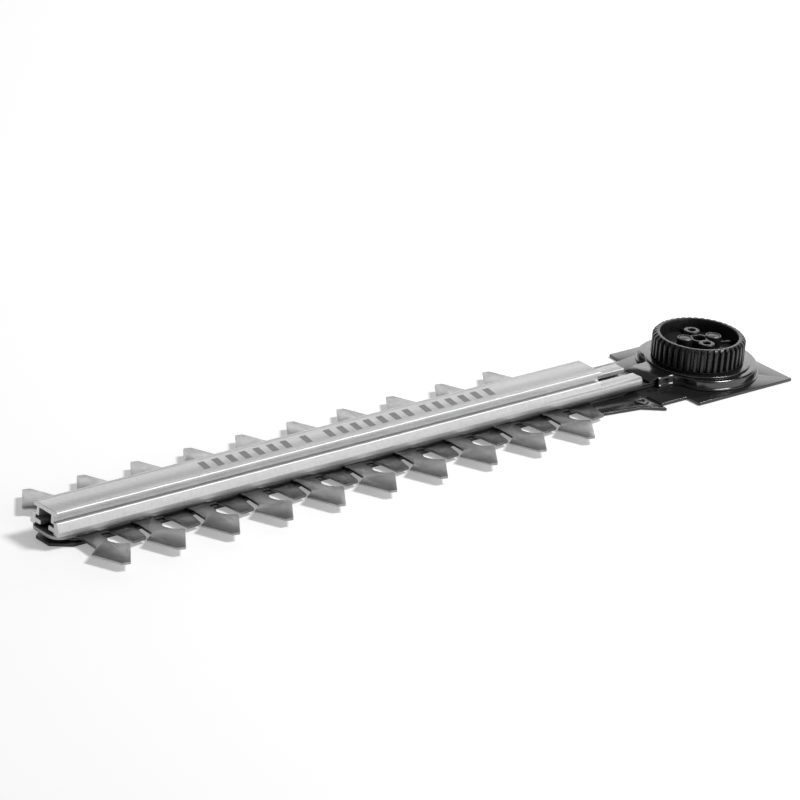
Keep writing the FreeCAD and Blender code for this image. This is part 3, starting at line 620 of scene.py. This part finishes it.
def makeBlade(name, node, near, far, start):
    # the comb is one pitch repeated; the nose and the yoke's end are joined to it, then the holes are cut
    b = blade
    low = cornersOf(node)[0].z
    comb = grown(name + "Comb", flatMesh("cell", [toothCell(near, far, start)], low), rowTree,
                 rowValues("bladeSteel", b["count"], (b["firstTip"] * mm, 0, 0), (b["pitch"] * mm, 0, 0)))
    combFront = b["firstTip"] + start
    combRear = combFront + b["pitch"] * b["count"]
    spine, neck, nose, (cut, rise) = b["spineHalf"], b["neckHalf"], b["spineFront"], b["noseCut"]
    front = [(nose, rise - spine), (nose + cut, -spine), (combFront, -spine), (combFront, spine),
             (nose + cut, spine), (nose, spine - rise)]
    if combFront - nose <= cut + 0.05:  # the comb starts where the cut corner ends
        front = [front[0], front[2], front[3], front[5]]
    meet = math.degrees(math.asin((neck - b["throw"]) / b["yokeOuter"]))
    rearEnd = b["spineRear"] + b["neckRun"]
    rear = [(combRear, -spine), (b["spineRear"], -spine), (rearEnd, -neck)]
    rear += arcPoints((0, -b["throw"]), b["yokeOuter"], -180 + meet, 0, 30)
    rear += arcPoints((0, b["throw"]), b["yokeOuter"], 0, 180 - meet, 30)
    rear += [(rearEnd, neck), (b["spineRear"], spine), (combRear, spine)]
    sheet = joinedMesh("sheet", [comb.data, flatMesh("ends", [front, rear], low)])
    work = bmesh.new()
    work.from_mesh(sheet)
    bmesh.ops.remove_doubles(work, verts=work.verts, dist=2e-6)
    for face in work.faces:
        if face.normal.z < 0:
            face.normal_flip()
    work.to_mesh(sheet)
    work.free()
    slots = []
    for index in range(fixings["count"]):
        x = fixings["first"] + fixings["spacing"] * index
        slots.append(arcPoints((x - b["throw"], 0), b["slotRadius"], 90, 270, 16)
                     + arcPoints((x + b["throw"], 0), b["slotRadius"], -90, 90, 16))
    holes = cutterObject("bladeHoles", slots + [yokeOutline(b["yokeInner"])], low - 1, low + 2)
    obj = grown(name, sheet, plateTree, {"Depth": (0, 0, b["thickness"] * mm), "Cutters": holes,
                                         "Material": finishes["bladeSteel"]})
    discard(comb)
    discard(holes)
    softened(obj, b["edge"])
    placed(obj, node, "blade_steel", node)


makeBlade("upperBladePlate", "upper_blade", longTooth(0, -1), longTooth(5.5, 1), -2.2)
makeBlade("lowerBladePlate", "lower_blade", shortTooth(14.3, -1), shortTooth(11.2, 1), 0.0)


# the rail and the strip under it

rail = {
    "topHalf": 5.5, "flange": 1.45, "webOuter": 4.0, "webWall": 1.1, "shoulderHalf": 5.6, "shoulderHeight": 4.0,
    "cheekHalf": 6.7, "cheekHeight": 1.3, "footHalf": 6.8, "lipHalf": 1.9, "lipLow": 0.7, "lipHigh": 2.2,
    "slotHalf": 4.4, "slotTop": 3.3, "tailLength": 17.1, "tailHeight": 2.3, "creaseAt": 4.1, "creaseWidth": 0.3,
    "creaseDepth": 0.1, "edge": 0.09,
}


def makeRail():
    r = rail
    low, high = cornersOf("guide_rail")
    base, top = low.z, high.z
    under, inner = top - r["flange"], r["webOuter"] - r["webWall"]
    crease, half = r["creaseAt"], r["creaseWidth"] / 2
    right = [(crease - half, top, 0), (crease, top - r["creaseDepth"], 0), (crease + half, top, 0),
             (r["topHalf"], top, 0.35), (r["topHalf"], under, 0.2), (r["webOuter"], under, 0.15),
             (r["webOuter"], base + r["shoulderHeight"], 0.15),
             (r["shoulderHalf"], base + r["shoulderHeight"] - 0.1, 0.35),
             (r["cheekHalf"], base + r["cheekHeight"], 0.4),
             (r["footHalf"], base, 0.15), (r["slotHalf"], base, 0.12), (r["slotHalf"], base + r["lipLow"], 0.12),
             (r["lipHalf"], base + r["lipLow"], 0.2), (r["lipHalf"], base + r["lipHigh"], 0.2),
             (r["slotHalf"], base + r["lipHigh"], 0.12), (r["slotHalf"], base + r["slotTop"], 0.15),
             (inner, base + r["slotTop"], 0.15), (inner, under, 0.2)]
    section = rounded(right + [(-corner[0], *corner[1:]) for corner in reversed(right)], 0, 3)
    shoulder = high.x - r["tailLength"]
    notch = [(shoulder, base + r["tailHeight"]), (high.x + 5, base + r["tailHeight"]), (high.x + 5, top + 5),
             (shoulder, top + 5)]
    cutter = cutterObject("railNotch", [notch], -20, 20, "xz")
    obj = grown("guideRailBar", flatMesh("section", [section], low.x, "yz"), plateTree,
                {"Depth": ((high.x - low.x) * mm, 0, 0), "Cutters": cutter, "Material": finishes["railAluminium"]})
    discard(cutter)
    work = bmesh.new()
    work.from_mesh(obj.data)
    bmesh.ops.recalc_face_normals(work, faces=work.faces)
    work.to_mesh(obj.data)
    work.free()
    softened(obj, r["edge"], 60, 1)
    placed(obj, "chassis", "rail_aluminium", "guide_rail")


makeRail()
softCopy("wear_strip", "wearStripPlate", 0.10, "chassis")

# each group of marks: where it starts and how many there are
marks = {"groups": ((-201.5, 7), (-162.6, 1), (-153.5, 7), (-115.5, 6)), "step": 5.2, "width": 2.5, "height": 4.9,
         "slant": 1.0, "thickness": 0.012, "sunk": 0.01, "middle": 0.1}


def makeMarks():
    # a plain row of slanted dashes printed on the rail
    m = marks
    top = cornersOf("guide_rail")[1].z
    half, lean = m["width"] / 2, m["slant"] / 2
    dash = rounded([(-half - lean, -m["height"] / 2), (half - lean, -m["height"] / 2),
                    (half + lean, m["height"] / 2), (lean - half, m["height"] / 2)], 0.2)
    groups = []
    for start, count in m["groups"]:
        prism = cutterObject("dash", [dash], top - m["sunk"], top + m["thickness"])
        groups.append(grown("dashes", prism.data, rowTree, rowValues(
            "printInk", count, (start * mm, m["middle"] * mm, 0), (m["step"] * mm, 0, 0))))
        discard(prism)
    obj = plainObject("railMarks", joinedMesh("marks", [group.data for group in groups]), "printInk")
    for group in groups:
        discard(group)
    softened(obj, 0)
    placed(obj, "chassis", "rail_aluminium")


makeMarks()


# bar, base plate and its eyelets

softCopy("support_bar", "supportBarPlate", 0.12, "chassis")
softCopy("base_plate", "basePlateSheet", 0.12, "chassis")

eyelet = {"hole": 1.0, "wall": 0.5, "lip": 0.7, "shank": 1.0, "lipRound": 0.3, "y": 12.0}


def makeEyelets():
    e = eyelet
    low, high = cornersOf("lug_eyelets")
    outer, shankTop = e["hole"] + e["wall"], low.z + e["shank"]
    profile = rounded([(e["hole"], low.z), (outer, low.z), (outer, shankTop), (outer + e["lip"], shankTop, 0.1),
                       (outer + e["lip"], high.z, e["lipRound"]), (e["hole"], high.z, e["lipRound"])], 0.06, 4)
    x = (low.x + high.x) / 2
    obj = grown("lugEyeletPair", spunMesh("eyelet", profile, 48), rowTree, rowValues(
        "screwSteel", 2, (x * mm, -e["y"] * mm, 0), (0, 2 * e["y"] * mm, 0)))
    placed(softened(obj, 0), "chassis", "screw_steel", "lug_eyelets")


makeEyelets()


# the pressed cover and what sits on it

cover = {
    "radius": 19.45, "neckHalf": 6.3, "neckFront": -22.4, "neckRear": -18.4, "fillet": 4.4, "filletTurn": 10.0,
    "bulge": 9.6, "bulgeAngle": 115.0, "flange": 0.6, "sheet": 0.6, "footRound": 0.35, "topRound": 0.7,
    "bushHole": 8.47, "flat": 17.0, "flatShare": 0.93, "edge": 0.07,
    "lip": ((0.3, 0.02), (0.6, 0.10), (3.4, 0.85)),  # how far forward of the neck, and how far down
}


def coverPath():
    # the plan of the cover's wall, from the neck's front on the -y side round to the front on the +y side
    c = cover
    inner = Vector((c["neckRear"], c["neckHalf"] + c["fillet"]))
    upper = [(c["neckFront"] + (c["neckRear"] - c["neckFront"]) * step / 3, c["neckHalf"]) for step in range(3)]
    upper += arcPoints(inner, c["fillet"], -90, -c["filletTurn"], 12)
    turn = math.radians(c["bulgeAngle"])
    last, wide = Vector(upper[-1]), Vector((math.cos(turn), math.sin(turn))) * c["radius"]
    chord = wide - last
    side = Vector((chord.y, -chord.x)).normalized()
    centre = (last + wide) / 2 + side * math.sqrt(c["bulge"] ** 2 - chord.length_squared / 4)
    start, end = (math.degrees(math.atan2(point.y - centre.y, point.x - centre.x)) for point in (last, wide))
    upper += arcPoints(centre, c["bulge"], start % 360, end % 360, 12)[1:]
    upper += arcPoints((0, 0), c["radius"], c["bulgeAngle"], 0, 40)[1:]
    lower = [(x, -y) for x, y in upper]
    return lower + upper[::-1][1:]


def offsetPath(path, grow):
    moved = []
    for index, point in enumerate(path):
        before = Vector(path[max(index - 1, 0)])
        after = Vector(path[min(index + 1, len(path) - 1)])
        along = (after - before).normalized()
        moved.append((point[0] + along.y * grow, point[1] - along.x * grow))
    return moved


def makeCover():
    c = cover
    low, high = cornersOf("cover_plate")
    foot = low.z + c["sheet"]
    path = coverPath()
    # how far outside the path each row of the wall stands, and its height
    rows = [(c["flange"], foot), (c["footRound"], foot)]
    for step in range(1, 5):
        turn = math.radians(90 * step / 4)
        rows.append((c["footRound"] * (1 - math.sin(turn)), foot + c["footRound"] * (1 - math.cos(turn))))
    for step in range(6):
        turn = math.radians(90 * step / 5)
        rows.append((-c["topRound"] * (1 - math.cos(turn)), high.z - c["topRound"] * (1 - math.sin(turn))))
    work = bmesh.new()
    rings = [[work.verts.new((x * mm, y * mm, height * mm)) for x, y in offsetPath(path, grow)]
             for grow, height in rows]
    for vertex in rings[0]:
        vertex.co.x = max(vertex.co.x, c["neckFront"] * mm)
    edge = [Vector((vertex.co.x, vertex.co.y)) for vertex in rings[-1]]
    hole = [work.verts.new((*(point.normalized() * c["bushHole"] * mm), high.z * mm)) for point in edge]
    half = [work.verts.new((*(point * min(c["flatShare"], c["flat"] * mm / point.length)), high.z * mm))
            for point in edge]
    rings += [half, hole]
    for first, second in zip(rings, rings[1:]):
        for index in range(1, len(first)):
            work.faces.new([first[index - 1], first[index], second[index], second[index - 1]])
    # the front of the top, then the bent lip
    front = c["neckFront"] * mm
    last = rings[-3]
    previous = [last[-1], last[0]]
    work.faces.new([half[-1], last[-1], last[0], half[0]])
    work.faces.new([hole[-1], half[-1], half[0], hole[0]])
    for run, drop in c["lip"]:
        pair = [work.verts.new((front - run * mm, vertex.co.y, (high.z - drop) * mm))
                for vertex in (last[-1], last[0])]
        work.faces.new([previous[0], pair[0], pair[1], previous[1]])
        previous = pair
    bmesh.ops.recalc_face_normals(work, faces=work.faces)
    if sum(face.normal.z * face.calc_area() for face in work.faces) < 0:
        bmesh.ops.reverse_faces(work, faces=work.faces)
    obj = plainObject("coverShell", meshFrom(work, "coverShell"), "coverSteel")
    wall = obj.modifiers.new("sheet", "SOLIDIFY")
    wall.thickness = c["sheet"] * mm
    wall.offset = -1
    wall.use_even_offset = True
    applied(obj, wall)
    softened(obj, c["edge"], 60, 2)
    placed(obj, "chassis", "cover_steel", "cover_plate")


makeCover()

turnings = {
    # name: node, outer and inner radius, corner round
    "coverDiscRing": ("cover_disc", 17.15, 8.47, 0.18),
    "thrustWasher": ("thrust_ring", 14.4, 12.8, 0.12),
}
for ringName, (ringNode, outer, inner, corner) in turnings.items():
    low, high = cornersOf(ringNode)
    section = rounded([(inner, low.z), (outer, low.z), (outer, high.z), (inner, high.z)], corner, 3)
    ringObject = plainObject(ringName, spunMesh(ringName, section, 128), slotFinish[slotOf[ringNode]])
    placed(softened(ringObject, 0), "chassis", slotOf[ringNode], ringNode)

bush = {"inner": 7.45, "outer": 8.45, "flange": 1.2, "flangeHeight": 0.6, "round": 0.12}
stud = {"radius": 2.4, "tail": 1.6, "tailHeight": 1.0, "chamfer": 0.2}


def makeBushAndStud():
    low, high = cornersOf("gear_bush")
    inner, outer = bush["inner"], bush["outer"]
    rim, step = outer + bush["flange"], low.z + bush["flangeHeight"]
    profile = rounded([(inner, low.z), (rim, low.z), (rim, step), (outer, step), (outer, high.z), (inner, high.z)],
                      bush["round"], 2)
    obj = plainObject("gearBushRing", spunMesh("bush", profile, 96), "bushBronze")
    placed(softened(obj, 0), "chassis", "bush_bronze", "gear_bush")
    low, high = cornersOf("pivot_stud")
    radius, tail, tailTop, chamfer = stud["radius"], stud["tail"], low.z + stud["tailHeight"], stud["chamfer"]
    profile = [(0, low.z), (tail, low.z), (tail, tailTop), (radius, tailTop), (radius, high.z - chamfer),
               (radius - chamfer, high.z), (0, high.z)]
    obj = plainObject("pivotStudPin", spunMesh("stud", profile, 64), "rivetSteel")
    placed(softened(obj, 0), "chassis", "rivet_steel", "pivot_stud")


makeBushAndStud()


# the drive gear

gear = {
    "radius": 15.0, "teeth": 42, "root": 13.65, "face": 7.5, "chamfer": 1.0, "rimInner": 12.6, "webLow": 1.75,
    "webThickness": 1.5, "hubRadius": 7.4, "bore": 2.2, "boreBoss": 3.3, "bossRadius": 2.6, "bossHeight": 3.35,
    "pinCircle": 5.0, "holeCircle": 5.6, "bossTurn": -18.0, "holeRadius": 1.05, "ribHalf": 0.4, "ribHeight": 1.1,
    "rivetRadius": 0.8, "rivetGap": 0.02, "rivetHead": 1.85, "rivetHeadGap": 0.2, "rivetHeadHeight": 0.35,
    "flank": ((-2.72, 13.72), (-2.52, 13.95), (-1.94, 14.72), (-1.72, 14.93)),  # angle and radius, root to tip
    "rootAngle": -3.05, "tipAngle": -1.38,
}


def toothPlan():
    # angle and radius across one pitch of the rim
    g = gear
    half = [(-180 / g["teeth"], g["root"]), (g["rootAngle"], g["root"]), *g["flank"], (g["tipAngle"], g["radius"]),
            (0.0, g["radius"])]
    return half + [(-angle, radius) for angle, radius in reversed(half[:-1])]


def rimMesh(low, high, webLow, webHigh):
    # one pitch of the rim as open quads; the whole ring closes when the copies are welded
    g = gear
    inner, chamfer = g["rimInner"], g["chamfer"]
    plan = toothPlan()
    # each row: a radius on the inner wall, or how far inside the tips on the toothed wall; and its height
    rows = [("in", inner, webLow), ("in", inner, low + 0.2), ("in", inner + 0.2, low)]
    rows += [("out", 0.25, low), ("out", 0.0, low + 0.25), ("out", 0.0, high - chamfer - 0.12),
             ("out", 0.07, high - chamfer + 0.05), ("out", chamfer - 0.12, high - 0.1), ("out", chamfer, high - 0.02)]
    rows += [("in", inner + 0.45, high), ("in", inner + 0.12, high - 0.12), ("in", inner, high - 0.45),
             ("in", inner, webHigh)]
    work = bmesh.new()
    rings = []
    for kind, value, height in rows:
        ring = []
        for angle, radius in plan:
            reach = value if kind == "in" else min(radius, g["radius"] - value)
            if kind == "out" and value == chamfer and radius == g["root"]:
                reach = min(reach, g["root"] - 0.1)
            turn = math.radians(angle)
            ring.append(work.verts.new((reach * math.cos(turn) * mm, reach * math.sin(turn) * mm, height * mm)))
        rings.append(ring)
    for first, second in zip(rings, rings[1:]):
        for index in range(1, len(first)):
            work.faces.new([first[index - 1], first[index], second[index], second[index - 1]])
    for index in range(1, len(plan)):
        work.faces.new([rings[-1][index - 1], rings[-1][index], rings[0][index], rings[0][index - 1]])
    bmesh.ops.recalc_face_normals(work, faces=work.faces)
    return meshFrom(work, "rimPitch")


def ringValues(finish, count, turn, step):
    return {"Count": count, "Turn": math.radians(turn), "Step": math.radians(step), "Material": finishes[finish]}


def ribMesh(start, end, webHigh):
    half, top = gear["ribHalf"], webHigh + gear["ribHeight"]
    foot, narrow = webHigh - 0.3, half * 0.7
    section = rounded([(-half, foot, 0), (half, foot, 0), (narrow, top, 0.2), (-narrow, top, 0.2)], 0, 3)
    mesh = flatMesh("rib", [section], start, "yz")
    work = bmesh.new()
    work.from_mesh(mesh)
    extruded = bmesh.ops.extrude_face_region(work, geom=list(work.faces), use_keep_orig=True)["geom"]
    for item in extruded:
        if isinstance(item, bmesh.types.BMVert):
            item.co.x = end * mm
    bmesh.ops.recalc_face_normals(work, faces=work.faces)
    work.to_mesh(mesh)
    work.free()
    return mesh


def makeGear():
    g = gear
    low, high = cornersOf("drive_gear")
    rimLow = high.z - g["face"]
    webLow = rimLow + g["webLow"]
    webHigh = webLow + g["webThickness"]
    bossTop = webHigh + g["bossHeight"]
    bossFoot = webHigh - 0.4  # a little inside the web, as the ribs' feet are
    headLow = bossTop - g["rivetHeadHeight"]
    rim = grown("rim", rimMesh(rimLow, high.z, webLow, webHigh), ringTree,
                ringValues("gearNylon", g["teeth"], 0, 360 / g["teeth"]))

    bore, hubRadius, boreBoss, web = g["bore"], g["hubRadius"], g["boreBoss"], g["rimInner"] + 0.3
    hub = spunMesh("hub", rounded([
        (bore, low.z, 0.1), (hubRadius, low.z, 0.15), (hubRadius, webLow, 0.3), (web, webLow, 0), (web, webHigh, 0),
        (boreBoss, webHigh, 0.5), (boreBoss, bossTop - 0.5, 0.3), (bore, bossTop - 0.5, 0.3)], 0.1, 4), 128)

    boss, hole = g["bossRadius"], g["holeRadius"]
    holed = spunMesh("openBoss", rounded([
        (hole, bossFoot, 0), (boss, bossFoot, 0), (boss, bossTop, 0.35), (hole + 0.3, bossTop, 0.2),
        (hole + 0.15, bossTop - 0.3, 0.2), (hole + 0.15, webHigh, 0)], 0, 4), 48, (g["holeCircle"], 0))
    pinHole, headHole = g["rivetRadius"] + g["rivetGap"], g["rivetHead"] + g["rivetHeadGap"]
    pinned = spunMesh("pinBoss", rounded([
        (pinHole, bossFoot, 0), (boss, bossFoot, 0), (boss, bossTop, 0.3), (headHole, bossTop, 0.12),
        (headHole, headLow, 0.1), (pinHole, headLow, 0)], 0, 4), 48, (g["pinCircle"], 0))

    rib = ribMesh(g["holeCircle"] + boss - 0.5, g["rimInner"] + 0.2, webHigh)
    bosses = grown("holedPair", holed, ringTree, ringValues("gearNylon", 2, g["bossTurn"] + 90, 180))
    pins = grown("pinnedPair", pinned, ringTree, ringValues("gearNylon", 2, g["bossTurn"], 180))
    ribs = grown("ribRing", rib, ringTree, ringValues("gearNylon", 4, g["bossTurn"], 90))
    whole = joinedMesh("driveGearCup", [rim.data, hub, bosses.data, pins.data, ribs.data])
    for item in (rim, bosses, pins, ribs):
        discard(item)
    obj = plainObject("driveGearCup", whole, "gearNylon")
    placed(softened(obj, 0), "gear_set", "gear_nylon", "drive_gear")

    bottom = cornersOf("cam_rivets")[0].z
    shank, head = g["rivetRadius"], g["rivetHead"]
    pin = [(0, bottom), (shank - 0.1, bottom), (shank, bottom + 0.1), (shank, headLow), (head, headLow)]
    # the head's dished face, as steps inside its rim and below its top
    pin += [(head - inside, bossTop - down) for inside, down in ((0, 0.14), (0.14, 0.03), (0.35, 0.06), (0.5, 0.13))]
    pin += [(1.0, bossTop - 0.05), (0.4, bossTop), (0, bossTop)]
    rivets = grown("camRivetPair", spunMesh("rivet", pin, 48, (g["pinCircle"], 0)), ringTree,
                   ringValues("rivetSteel", 2, g["bossTurn"], 180))
    placed(softened(rivets, 0), "gear_set", "rivet_steel", "cam_rivets")


makeGear()
softCopy("upper_cam", "upperCamDisc", 0.1, "gear_set")
softCopy("lower_cam", "lowerCamDisc", 0.1, "gear_set")
softCopy("grease_felt", "greaseFeltPad", 0.25, "chassis")

print("all pieces made")
